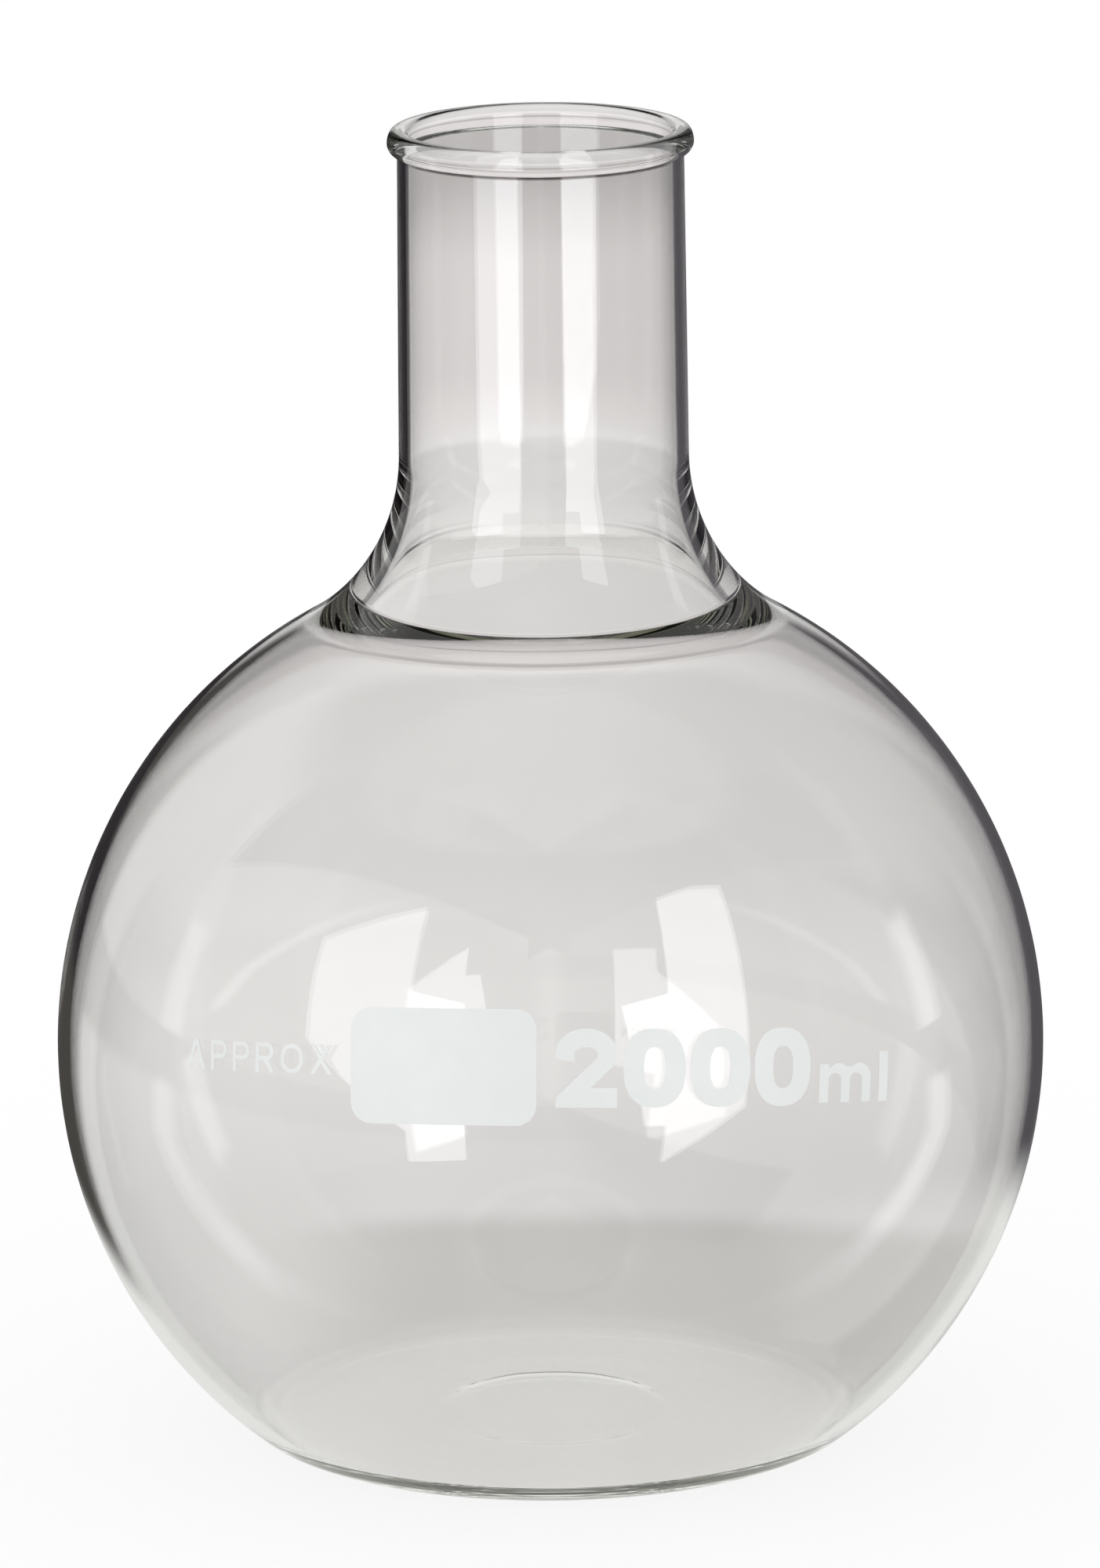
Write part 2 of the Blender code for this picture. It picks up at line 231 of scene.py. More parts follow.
# The outline is in metres: the bulb's radius and the overall height come from the frame.
bodyLow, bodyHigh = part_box("flask_body")
flaskShape = {
    "bulbRadius": (bodyHigh[0] - bodyLow[0]) / 2,
    "height": bodyHigh[2],
    "bulbCentre": 67.2 * mm,
    "heelRadius": 12.0 * mm,
    "neckLow": 24.2 * mm,
    "neckHigh": 23.8 * mm,
    "shoulderRadius": 33.0 * mm,
    "lipOut": 1.65 * mm,
    "lipHeight": 4.2 * mm,
    "lipWidest": 2.4 * mm,   # below the top
    "lipTop": 23.9 * mm,
    "lipInner": 1.2 * mm,
    "lipCrease": 0.15 * mm,
    "contactRing": 31.0 * mm,
    "pushUpRadius": 19.0 * mm,
    "pushUpEdge": 0.4 * mm,
    "pushUpHeight": 2.2 * mm,
    "neckWall": 1.8 * mm,
    "bulbWall": 2.0 * mm,
    "bulbTopExtra": 0.2 * mm,
    "baseWall": 2.8 * mm,
    "flareStart": 166.0 * mm,
    "flareRadius": 42.0 * mm,
    "boreEdge": 2.0 * mm,
    "turns": 192,
    "unevenOut": 0.05 * mm,  # how far the blown surface strays
    "unevenIn": 0.16 * mm,
}


def arcPoints(centreX, centreY, radiusX, radiusY, start, end, steps):
    points = []
    for step in range(steps + 1):
        angle = math.radians(start + (end - start) * step / steps)
        points.append((centreX + radiusX * math.cos(angle), centreY + radiusY * math.sin(angle)))
    return points


def joinRuns(*runs):
    outline = []
    for run in runs:
        for point in run:
            if not outline or math.dist(point, outline[-1]) > 1e-6:
                outline.append(point)
    return outline


# An arc outside the bulb that touches both the bulb and the neck: centre out, centre up, leaving angle.
def shoulderArc(shape, bulbRadius, neckRadius, filletRadius):
    out = neckRadius + filletRadius
    up = math.sqrt((bulbRadius + filletRadius) ** 2 - out ** 2)
    return out, shape["bulbCentre"] + up, math.degrees(math.atan2(up, out))


# The rounded edge of glass under the bore: it touches the bore's flare and the bulb's inside.
def boreEdgeArc(shape, halfWidth, halfHeight, flareOut):
    low, high = math.radians(50), math.radians(85)
    for _ in range(60):
        turn = (low + high) / 2
        normal = Vector((math.cos(turn) / halfWidth, math.sin(turn) / halfHeight)).normalized()
        out = halfWidth * math.cos(turn) + shape["boreEdge"] * normal.x
        up = shape["bulbCentre"] + halfHeight * math.sin(turn) + shape["boreEdge"] * normal.y
        fromFlare = Vector((out - flareOut, up - shape["flareStart"]))
        if fromFlare.length > shape["flareRadius"] - shape["boreEdge"]:
            high = turn
        else:
            low = turn
    leaves = 180 + math.degrees(math.atan2(normal.y, normal.x))
    meets = 360 + math.degrees(math.atan2(fromFlare.y, fromFlare.x))
    return out, up, leaves, meets, math.degrees(turn)


# An arc inside the bulb that touches both the bulb and a flat floor.
def heelArc(shape, bulbRadius, floorHeight):
    down = shape["bulbCentre"] - floorHeight - shape["heelRadius"]
    out = math.sqrt((bulbRadius - shape["heelRadius"]) ** 2 - down ** 2)
    return out, floorHeight + shape["heelRadius"], math.degrees(math.atan2(-down, out))


def pushUp(shape, lift):
    rise = shape["pushUpHeight"] - shape["pushUpEdge"]
    domeRadius = (shape["pushUpRadius"] ** 2 + rise ** 2) / (2 * rise)
    spread = math.degrees(math.asin(shape["pushUpRadius"] / domeRadius))
    domeCentre = shape["pushUpHeight"] - domeRadius + lift
    return arcPoints(0.0, domeCentre, domeRadius, domeRadius, 90 - spread, 90, 16)


def straight(start, end, steps):
    points = []
    for step in range(steps + 1):
        part = step / steps
        points.append((start[0] + (end[0] - start[0]) * part, start[1] + (end[1] - start[1]) * part))
    return points


def outsideOutline(shape):
    bulb, centre, fillet = shape["bulbRadius"], shape["bulbCentre"], shape["shoulderRadius"]
    out, up, angle = shoulderArc(shape, bulb, shape["neckLow"], fillet)
    heelOut, heelUp, heelAngle = heelArc(shape, bulb, 0.0)
    neck = shape["neckHigh"]
    lipUp = shape["height"] - shape["lipWidest"]
    lipOver = neck + shape["lipOut"] - shape["lipTop"]
    lipUnder = shape["lipHeight"] - shape["lipWidest"]
    lipRun = arcPoints(shape["lipTop"], lipUp, lipOver, shape["lipWidest"], 90, 0, 14)
    underRun = arcPoints(neck, lipUp, shape["lipOut"], lipUnder, 0, -90, 10)
    neckTop = shape["height"] - shape["lipHeight"] - shape["lipCrease"]
    neckRun = straight((neck, neckTop), (shape["neckLow"], up), 30)
    shoulderRun = arcPoints(out, up, fillet, fillet, 180, 180 + angle, 60)
    bulbRun = arcPoints(0.0, centre, bulb, bulb, angle, heelAngle, 90)
    heelRun = arcPoints(heelOut, heelUp, shape["heelRadius"], shape["heelRadius"], heelAngle, -90, 16)
    footRun = straight((heelOut, 0.0), (shape["contactRing"], 0.0), 8)
    riseRun = straight((shape["contactRing"], 0.0), (shape["pushUpRadius"], shape["pushUpEdge"]), 8)
    upperRuns = joinRuns(lipRun, underRun, neckRun, shoulderRun, bulbRun)
    return joinRuns(upperRuns, heelRun, footRun, riseRun, pushUp(shape, 0.0))


def insideOutline(shape):
    bulb, centre = shape["bulbRadius"] - shape["bulbWall"], shape["bulbCentre"]
    bulbTop = bulb - shape["bulbTopExtra"]
    neckLow, neckHigh = shape["neckLow"] - shape["neckWall"], shape["neckHigh"] - shape["neckWall"]
    flare, edge = shape["flareRadius"], shape["boreEdge"]
    flareOut, flareUp = neckLow + flare, shape["flareStart"]
    edgeOut, edgeUp, leaves, meets, bulbTurn = boreEdgeArc(shape, bulb, bulbTop, flareOut)
    heelOut, heelUp, heelAngle = heelArc(shape, bulb, shape["baseWall"])
    ringPoint = (shape["contactRing"], shape["baseWall"])
    domeRun = list(reversed(pushUp(shape, shape["baseWall"])))
    riseRun = straight(domeRun[-1], ringPoint, 8)
    floorRun = straight(ringPoint, (heelOut, shape["baseWall"]), 8)
    heelRun = arcPoints(heelOut, heelUp, shape["heelRadius"], shape["heelRadius"], -90, heelAngle, 16)
    lowRun = arcPoints(0.0, centre, bulb, bulb, heelAngle, 0, 45)
    highRun = arcPoints(0.0, centre, bulb, bulbTop, 0, bulbTurn, 45)
    edgeRun = arcPoints(edgeOut, edgeUp, edge, edge, leaves, meets, 20)
    flareRun = arcPoints(flareOut, flareUp, flare, flare, meets, 180, 50)
    rounding = shape["lipInner"]
    mouthUp = shape["height"] - rounding
    neckRun = straight((neckLow, flareUp), (neckHigh, mouthUp), 30)
    mouthRun = arcPoints(neckHigh + rounding, mouthUp, rounding, rounding, 180, 90, 8)
    floorRuns = joinRuns(domeRun, riseRun, floorRun, heelRun)
    return joinRuns(floorRuns, lowRun, highRun, edgeRun, flareRun, neckRun, mouthRun)


def fadeIn(value, width):
    return min(1.0, max(0.0, value / width))


def strayIn(point, size, depth, seed):
    spot = Vector((point[0] / size + seed, point[1] / size, point[2] / size))
    return depth * (0.5 + 0.5 * noise.noise(spot))


def makeFlask(shape, material):
    outside = outsideOutline(shape)
    inside = insideOutline(shape)
    section = joinRuns(outside, inside)
    rings = []
    bm = bmesh.new()
    for index, (radius, up) in enumerate(section):
        isInside = index >= len(outside)
        if radius < 1e-6:
            rings.append([bm.verts.new((0.0, 0.0, up))])
            continue
        ring = []
        for turn in range(shape["turns"]):
            angle = 2 * math.pi * turn / shape["turns"]
            spot = (radius * math.cos(angle), radius * math.sin(angle), up)
            fade = fadeIn(up - 8 * mm, 20 * mm) * fadeIn(shape["height"] - up, 15 * mm)
            if isInside:
                stray = strayIn(spot, 0.045, shape["unevenIn"], 7.0) - shape["unevenIn"] / 2
                wander = radius + fade * stray
            else:
                wander = radius - fade * strayIn(spot, 0.06, shape["unevenOut"], 2.0)
            ring.append(bm.verts.new((wander * math.cos(angle), wander * math.sin(angle), up)))
        rings.append(ring)
    for first, second in zip(rings, rings[1:] + rings[:1]):
        count = max(len(first), len(second))
        if len(first) == 1 and len(second) == 1:
            continue
        for turn in range(count):
            after = (turn + 1) % count
            if len(first) == 1:
                bm.faces.new((first[0], second[after], second[turn]))
            elif len(second) == 1:
                bm.faces.new((first[turn], first[after], second[0]))
            else:
                bm.faces.new((first[turn], first[after], second[after], second[turn]))
    bmesh.ops.recalc_face_normals(bm, faces=bm.faces[:])
    glass = finishPiece("flaskGlass", bm, material)
    glass.data.set_sharp_from_angle(angle=math.radians(45))
    return glass


def finishPiece(name, bm, material):
    mesh = bpy.data.meshes.new(name)
    bm.to_mesh(mesh)
    bm.free()
    mesh.materials.append(material)
    mesh.shade_smooth()
    piece = bpy.data.objects.new(name, mesh)
    scene.collection.objects.link(piece)
    return piece


# The height of the painted shade line under the lip.
creaseShadeUp = flaskShape["height"] - flaskShape["lipHeight"] - glassLook["creaseShadeDrop"]
flask = makeFlask(flaskShape, makeGlass(glassLook, creaseShadeUp, flaskShape["neckHigh"]))
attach(flask, "root")
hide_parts("flask_body")
print("glass vessel blown:", len(flask.data.polygons), "faces")


enamelLook = {
    "white": (0.775, 0.795, 0.785),
    "thin": (0.75, 0.775, 0.765),
    "roughLow": 0.38,
    "roughHigh": 0.55,
    "grainSize": 0.0009,
    "grainHeight": 0.00002,
}


def makeEnamel(look):
    material, tree, output = newMaterial("whiteEnamel")
    shader = addNode(tree, "ShaderNodeBsdfPrincipled")
    patches = addMottle(tree, 0.006, 1.0, 2.2)
    grain = addMottle(tree, look["grainSize"], 1.0, 2.0)
    paint = mixColours(tree, patches.outputs["Mask"], look["thin"], look["white"])
    wire(tree, paint, shader.inputs["Base Color"])
    sheen = ramp(tree, grain.outputs["Mask"], 0.0, 1.0, look["roughLow"], look["roughHigh"])
    wire(tree, sheen, shader.inputs["Roughness"])
    bump = addNode(tree, "ShaderNodeBump")
    bump.inputs["Strength"].default_value = 0.6
    bump.inputs["Distance"].default_value = 1.0
    wire(tree, maths(tree, "MULTIPLY", grain.outputs["Height"], look["grainHeight"]), bump.inputs["Height"])
    wire(tree, bump.outputs["Normal"], shader.inputs["Normal"])
    wire(tree, shader.outputs[0], output.inputs["Surface"])
    return material


# The marks are laid out flat, in millimetres, then wrapped round an equator tilted up in front.
markLayout = {
    "tilt": 11.7,            # degrees
    "turn": -1.0,
    "lift": 0.02 * mm,       # clear of the glass
    "thickness": 0.05 * mm,
    "cell": 0.8 * mm,
    "baseline": -7.05,
    "unitLift": 0.4,
    "panelCorner": (-33.3, -10.1),
    "panelSize": (31.0, 18.9),
    "panelRound": 3.4,
    "wordStart": -66.2,
    "wordBaseline": -2.4,
    "wordGap": 1.25,
}


def roundedPanel(width, height, corner, steps):
    return joinRuns(
        arcPoints(width - corner, corner, corner, corner, -90, 0, steps),
        arcPoints(width - corner, height - corner, corner, corner, 0, 90, steps),
        arcPoints(corner, height - corner, corner, corner, 90, 180, steps),
        arcPoints(corner, corner, corner, corner, 180, 270, steps),
    )


def oval(width, height, squareness, steps, insetX=0.0, insetY=0.0):
    points = []
    for step in range(steps):
        angle = 2 * math.pi * step / steps
        c, s = math.cos(angle), math.sin(angle)
        x = width / 2 + (width / 2 - insetX) * math.copysign(abs(c) ** (2 / squareness), c)
        y = height / 2 + (height / 2 - insetY) * math.copysign(abs(s) ** (2 / squareness), s)
        points.append((x, y))
    return points


def figureTwo():
    bowl = arcPoints(4.95, 8.75, 5.0, 4.05, 192, -30, 40)
    foot = [(5.6, 3.2), (10.0, 3.2), (10.0, 0.0), (0.0, 0.0), (0.0, 1.55)]
    counter = arcPoints(4.9, 8.6, 1.95, 1.2, -35, 190, 28)
    return [joinRuns(bowl, foot, counter, [(3.15, 7.35)])]


def figureZero():
    return [oval(10.3, 12.8, 2.35, 80), oval(10.3, 12.8, 2.6, 56, 3.35, 3.0)]


def letterM():
    feet = [(0.0, 0.0), (1.8, 0.0), (1.8, 3.7)]
    leftGap = arcPoints(3.05, 3.7, 1.25, 1.1, 180, 0, 14)
    middle = [(4.3, 0.0), (6.1, 0.0)]
    rightGap = arcPoints(7.35, 3.7, 1.25, 1.1, 180, 0, 14)
    right = [(8.6, 0.0), (10.4, 0.0)]
    rightArch = arcPoints(8.0, 4.0, 2.4, 2.4, 0, 130, 18)
    leftArch = arcPoints(3.8, 4.0, 2.3, 2.4, 50, 140, 14)
    corner = [(1.7, 6.3), (0.0, 6.3)]
    return [joinRuns(feet, leftGap, middle, rightGap, right, rightArch, leftArch, corner)]


def letterL():
    return [[(0.0, 0.0), (1.9, 0.0), (1.9, 8.2), (0.0, 8.2)]]


def letterA():
    feet = [(0.0, 0.0), (0.8, 0.0), (1.15, 1.05), (3.15, 1.05), (3.5, 0.0), (4.3, 0.0)]
    return [feet + [(2.6, 4.85), (1.7, 4.85)], [(1.4, 1.75), (2.9, 1.75), (2.15, 4.0)]]


def letterP():
    stem = [(0.0, 0.0), (0.75, 0.0), (0.75, 1.9)]
    outer = joinRuns(stem, arcPoints(2.05, 3.375, 1.45, 1.475, -90, 90, 18), [(0.0, 4.85)])
    inner = joinRuns([(0.75, 2.6)], arcPoints(2.05, 3.375, 0.72, 0.775, -90, 90, 14), [(0.75, 4.15)])
    return [outer, inner]


def letterR():
    leg = [(0.0, 0.0), (0.75, 0.0), (0.75, 1.95), (1.55, 1.95), (2.8, 0.0), (3.7, 0.0)]
    outer = joinRuns(leg, arcPoints(2.15, 3.4, 1.45, 1.45, -72, 90, 18), [(0.0, 4.85)])
    inner = joinRuns([(0.75, 2.65)], arcPoints(2.1, 3.4, 0.75, 0.75, -90, 90, 14), [(0.75, 4.15)])
    return [outer, inner]


def letterO():
    return [oval(4.3, 4.85, 2.2, 56), oval(4.3, 4.85, 2.2, 44, 0.75, 0.75)]


def letterX():
    lower = [(0.0, 0.0), (0.9, 0.0), (2.05, 1.8), (3.2, 0.0), (4.1, 0.0), (2.5, 2.45)]
    upper = [(4.0, 4.85), (3.1, 4.85), (2.05, 3.1), (1.0, 4.85), (0.1, 4.85), (1.6, 2.45)]
    return [lower + upper]


def wrapOnBulb(layout, along, up, radius):
    turn = math.radians(layout["turn"])
    bulb = flaskShape["bulbRadius"]
    longitude = (along * math.cos(turn) - up * math.sin(turn)) / bulb
    latitude = (along * math.sin(turn) + up * math.cos(turn)) / bulb
    flat = math.cos(latitude)
    point = Vector((flat * math.sin(longitude), -flat * math.cos(longitude), math.sin(latitude))) * radius
    tilt = Matrix.Rotation(-math.radians(layout["tilt"]), 3, "X")
    return tilt @ point + Vector((0.0, 0.0, flaskShape["bulbCentre"]))


def cutIntoStrips(bm, axis, cell):
    places = [vert.co[axis] for vert in bm.verts]
    low, high = min(places), max(places)
    normal = Vector((0.0, 0.0, 0.0))
    normal[axis] = 1.0
    cuts = max(1, math.ceil((high - low) / cell))
    for cut in range(1, cuts):
        spot = Vector((0.0, 0.0, 0.0))
        spot[axis] = low + (high - low) * cut / cuts
        everything = bm.verts[:] + bm.edges[:] + bm.faces[:]
        bmesh.ops.bisect_plane(bm, geom=everything, dist=1e-7, plane_co=spot, plane_no=normal)


def makeMark(name, node, outlines, along, up, layout, material):
    bm = bmesh.new()
    for outline in outlines:
        verts = [bm.verts.new(((along + x) * mm, (up + y) * mm, 0.0)) for x, y in outline]
        for first, second in zip(verts, verts[1:] + verts[:1]):
            bm.edges.new((first, second))
    bmesh.ops.triangle_fill(bm, use_beauty=True, use_dissolve=False, edges=bm.edges[:])
    cutIntoStrips(bm, 0, layout["cell"])
    cutIntoStrips(bm, 1, layout["cell"])
    bmesh.ops.remove_doubles(bm, verts=bm.verts, dist=1e-6)
    raised = bmesh.ops.extrude_face_region(bm, geom=bm.faces[:])["geom"]
    for vert in (item for item in raised if isinstance(item, bmesh.types.BMVert)):
        vert.co.z = layout["thickness"]
    foot = flaskShape["bulbRadius"] + layout["lift"]
    for vert in bm.verts:
        vert.co = wrapOnBulb(layout, vert.co.x, vert.co.y, foot + vert.co.z)
    bmesh.ops.recalc_face_normals(bm, faces=bm.faces[:])
    mark = finishPiece(name, bm, material)
    mark.data.set_sharp_from_angle(angle=math.radians(50))
    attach(mark, "root")
    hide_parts(node)
    return mark


def makeMarks(layout, material):
    panel = roundedPanel(*layout["panelSize"], layout["panelRound"], 12)
    makeMark("writingPanel", "writing_panel", [panel], *layout["panelCorner"], layout, material)
    figures = (
        ("figureTwo", "digit_2", figureTwo, 0.8),
        ("figureZeroLeft", "digit_0_left", figureZero, 11.8),
        ("figureZeroMiddle", "digit_0_middle", figureZero, 22.9),
        ("figureZeroRight", "digit_0_right", figureZero, 33.95),
    )
    for name, node, draw, along in figures:
        makeMark(name, node, draw(), along, layout["baseline"], layout, material)
    units = ("unitM", "unit_m", letterM, 46.0), ("unitL", "unit_l", letterL, 58.2)
    for name, node, draw, along in units:
        makeMark(name, node, draw(), along, layout["baseline"] + layout["unitLift"], layout, material)
    along = layout["wordStart"]
    word = (
        ("wordA", "word_a", letterA),
        ("wordPLeft", "word_p_left", letterP),
        ("wordPRight", "word_p_right", letterP),
        ("wordR", "word_r", letterR),
        ("wordO", "word_o", letterO),
        ("wordX", "word_x", letterX),
    )
    for name, node, draw in word:
        outlines = draw()
        makeMark(name, node, outlines, along, layout["wordBaseline"], layout, material)
        along += max(x for x, _ in outlines[0]) + layout["wordGap"]


makeMarks(markLayout, makeEnamel(enamelLook))
print("enamel marks printed")


studio = {
    "benchRadius": 6.0,
    "benchDrop": 0.0002,                # the bench lies just under the flask
    "white": 1.0,                       # the bench and backdrop as the eye sees them
    "paper": ((0.90, 0.90, 0.895), (0.94, 0.94, 0.935)),
    "shade": 0.13,                      # how much of the flask's shadow shows on the bench
    "shadeReach": (0.12, 0.40),         # metres from the flask's axis, over which it fades
    "roomLight": 1.05,                  # soft light from all round on the enamel and the bench
    "panelGlow": 3.1,
    # the glow of the painted strips that only reflections see
    "paintedStripGlow": 1.45,
    # the tone of the flags' painted dark reflection
    "flagTone": (0.022, 0.018, 0.022),
}


# Painted shade and backdrop seen straight through the glass: the tones the bench and the room show only to
# rays that came through it, darker right under the flask and towards the right, and the reach from the
# flask's axis over which each takes over from the last.
paintedThroughTones = {
    "base": (0.73, 0.72, 0.705),        # painted shade right under the flask
    "nearBands": (
        ((0.65, 0.64, 0.625), (0.03, 0.07)),
        ((0.83, 0.82, 0.81), (0.118, 0.138)),
    ),
    "left": (0.80, 0.795, 0.78),        # close by on the left
    "leftAcross": (-0.02, -0.06),
    "leftReach": (0.18, 0.14),
    "farBands": (
        ((0.90, 0.89, 0.875), (0.16, 0.26)),
        ((0.82, 0.81, 0.80), (0.28, 0.45)),
        ((0.96, 0.94, 0.93), (0.67, 0.75)),
        ((0.83, 0.795, 0.79), (0.82, 0.92)),    # behind the neck
        ((0.56, 0.54, 0.535), (1.05, 1.22)),    # behind the mouth
        ((0.83, 0.795, 0.79), (1.35, 2.20)),
    ),
    "room": (0.83, 0.795, 0.79),
    "rightShade": (0.25, 0.25, 0.25),         # painted shade: dulls all of them a little towards the right
    "rightShadeShare": 0.09,
    "rightShadeAcross": (-0.03, 0.06),
}


# Painted reflections: what the glass's edges and reflections pick up, painted into the bench and the world
# for rays turned by the glass; the room, walls and ceiling named here are not built.
paintedReflectionTones = {
    "near": (0.78, 0.78, 0.76),         # the bench close by and the backdrop
    "under": (1.15, 1.15, 1.12),        # a painted bright reflection of the bench right under the flask
    "wall": (0.74, 0.74, 0.73),         # pale walls on the left and in front
    "rightWall": (0.22, 0.22, 0.22),    # a duller one on the right
    "ceiling": (0.13, 0.135, 0.12),     # to either side
    "overhead": (0.34, 0.34, 0.33),
    "corner": (0.065, 0.06, 0.055),     # a grey corner behind on the left
    "farLeft": (0.022, 0.018, 0.022),   # the unlit room
    "farRight": (0.095, 0.088, 0.098),
    "deep": (0.055, 0.054, 0.052),      # painted shade on light that has bounced about inside the glass
    "lost": (0.15, 0.155, 0.11),        # and a painted tone for light that has bounced many times
}


# Where those tones change, as (from, to): metres on the bench, parts of a unit direction in the room.
edgePlan = {
    "freshBounces": 2.5,                # fewer reflections than this and a light panel still shows
    "deepBounces": (2.4, 2.6),
    "lostBounces": (13.5, 15.5),
    "middle": (-0.03, 0.03),
    "rightWall": (0.0, 0.10),
    "wallSplay": 1.25,                  # how steeply the side walls run back
    "bench": {
        "inside": (0.60, 0.45),
        "corner": (-0.05, -0.12),
        "flaskSide": 0.075,
        "wall": (-0.01, 0.02),
        "wallBeyond": 0.5,              # how much of the walls shows further out
        "laneAcross": (0.085, 0.065),   # a painted pale lane runs straight back
        "laneBehind": (0.0, 0.05),
        "near": (0.20, 0.13),
        "nearAcross": (-0.118, -0.084),
        "under": (0.056, 0.044),
        "stripNear": (0.38, 0.108),     # a painted bright strip stands at each side: its slope back and its offset
        "stripFar": (0.19, 0.055),
        "stripWidth": (0.055, 0.001),
        "stripEdge": (1.3, 0.7),
        "stripStart": (0.09, 0.15),
    },
    "room": {
        "cornerAcross": (-0.15, -0.30),
        "cornerUp": (0.35, 0.15),
        "wall": (-0.03, 0.06),
        "backdropAcross": (0.24, 0.16),
        "backdropBehind": (0.3, 0.6),
        "overhead": (0.14, 0.40),
        "ceilingUp": (0.60, 0.80),
        "stripSlope": 0.176,
        "stripEdge": (0.085, 0.045),
        "stripUp": (0.32, 0.26),
    },
}


# How a ray came: straight from the eye, straight through the glass, or turned by a reflection in or on it.
def rayKinds(tree):
    path = addNode(tree, "ShaderNodeLightPath")
    bounces = path.outputs["Glossy Depth"]
    turned = maths(tree, "GREATER_THAN", bounces, 0.5)
    fewTurns = maths(tree, "LESS_THAN", bounces, edgePlan["freshBounces"])
    return {
        "camera": path.outputs["Is Camera Ray"],
        "bounces": bounces,
        "turned": turned,
        "through": maths(tree, "GREATER_THAN", path.outputs["Transmission Depth"], 0.5),
        "fresh": maths(tree, "MULTIPLY", turned, fewTurns),
    }


def both(tree, first, second):
    return maths(tree, "MULTIPLY", first, second)


def splitPlace(tree, socketName):
    place = addNode(tree, "ShaderNodeTexCoord")
    split = addNode(tree, "ShaderNodeSeparateXYZ")
    wire(tree, place.outputs[socketName], split.inputs[0])
    return place.outputs[socketName], split.outputs["X"], split.outputs["Y"], split.outputs["Z"]


# Paints the shade and backdrop that rays coming through the glass see on the bench.
def paintedBenchThrough(tree, distance, across, tones):
    tone = tones["base"]
    for nextTone, reach in tones["nearBands"]:
        tone = mixColours(tree, ramp(tree, distance, *reach), tone, nextTone)
    onLeft = both(tree, ramp(tree, across, *tones["leftAcross"]), ramp(tree, distance, *tones["leftReach"]))
    tone = mixColours(tree, onLeft, tone, tones["left"])
    for nextTone, reach in tones["farBands"]:
        tone = mixColours(tree, ramp(tree, distance, *reach), tone, nextTone)
    rightShade = ramp(tree, across, *tones["rightShadeAcross"], 0.0, tones["rightShadeShare"])
    return mixColours(tree, rightShade, tone, tones["rightShade"])


# The two painted reflection tones that the bench and the room share: the unlit distance and the side walls.
def farTone(tree, across):
    toRight = ramp(tree, across, *edgePlan["middle"])
    return mixColours(tree, toRight, paintedReflectionTones["farLeft"], paintedReflectionTones["farRight"])


def wallTone(tree, across):
    toRight = ramp(tree, across, *edgePlan["rightWall"])
    return mixColours(tree, toRight, paintedReflectionTones["wall"], paintedReflectionTones["rightWall"])


# Painted shade: reflections that have bounced more times inside the glass get darker tones.
def paintDeepBounceShade(tree, bounces, tone):
    tone = mixColours(tree, ramp(tree, bounces, *edgePlan["deepBounces"]), tone, paintedReflectionTones["deep"])
    return mixColours(tree, ramp(tree, bounces, *edgePlan["lostBounces"]), tone, paintedReflectionTones["lost"])


def slopedLine(tree, value, slopeAndOffset):
    slope, offset = slopeAndOffset
    return maths(tree, "SUBTRACT", maths(tree, "MULTIPLY", value, slope), offset)


# A painted glowing strip on the bench at each side, which only rays turned by the glass see.
def paintedBenchStrip(tree, distance, side, behind, inside, plan):
    near, far = slopedLine(tree, side, plan["stripNear"]), slopedLine(tree, side, plan["stripFar"])
    offStrip = maths(tree, "ABSOLUTE", maths(tree, "SUBTRACT", behind, maths(tree, "MINIMUM", near, far)))
    widening, width = plan["stripWidth"]
    half = maths(tree, "ADD", maths(tree, "MULTIPLY", side, widening), width)
    strip = ramp(tree, maths(tree, "DIVIDE", offStrip, half), *plan["stripEdge"])
    return both(tree, strip, both(tree, inside, ramp(tree, distance, *plan["stripStart"])))


# Painted reflections: the tones the bench shows to rays turned by the glass.
def paintedBenchReflection(tree, distance, across, behind, bounces, glow, plan):
    inside = ramp(tree, distance, *plan["inside"])
    corner = both(tree, inside, ramp(tree, across, *plan["corner"]))
    tone = mixColours(tree, corner, farTone(tree, across), paintedReflectionTones["corner"])
    side = maths(tree, "ABSOLUTE", across)
    fromFlask = maths(tree, "SUBTRACT", side, plan["flaskSide"])
    ahead = maths(tree, "SUBTRACT", maths(tree, "MULTIPLY", fromFlask, edgePlan["wallSplay"]), behind)
    wallReach = ramp(tree, distance, *plan["inside"], plan["wallBeyond"], 1.0)
    walls = both(tree, wallReach, ramp(tree, ahead, *plan["wall"]))
    tone = mixColours(tree, walls, tone, wallTone(tree, across))
    lane = both(tree, ramp(tree, side, *plan["laneAcross"]), ramp(tree, behind, *plan["laneBehind"]))
    nearby = both(tree, ramp(tree, distance, *plan["near"]), ramp(tree, across, *plan["nearAcross"]))
    tone = paintDeepBounceShade(tree, bounces, tone)
    tone = mixColours(tree, maths(tree, "MAXIMUM", lane, nearby), tone, paintedReflectionTones["near"])
    tone = mixColours(tree, ramp(tree, distance, *plan["under"]), tone, paintedReflectionTones["under"])
    strip = paintedBenchStrip(tree, distance, side, behind, inside, plan)
    return mixColours(tree, strip, tone, (glow,) * 3)


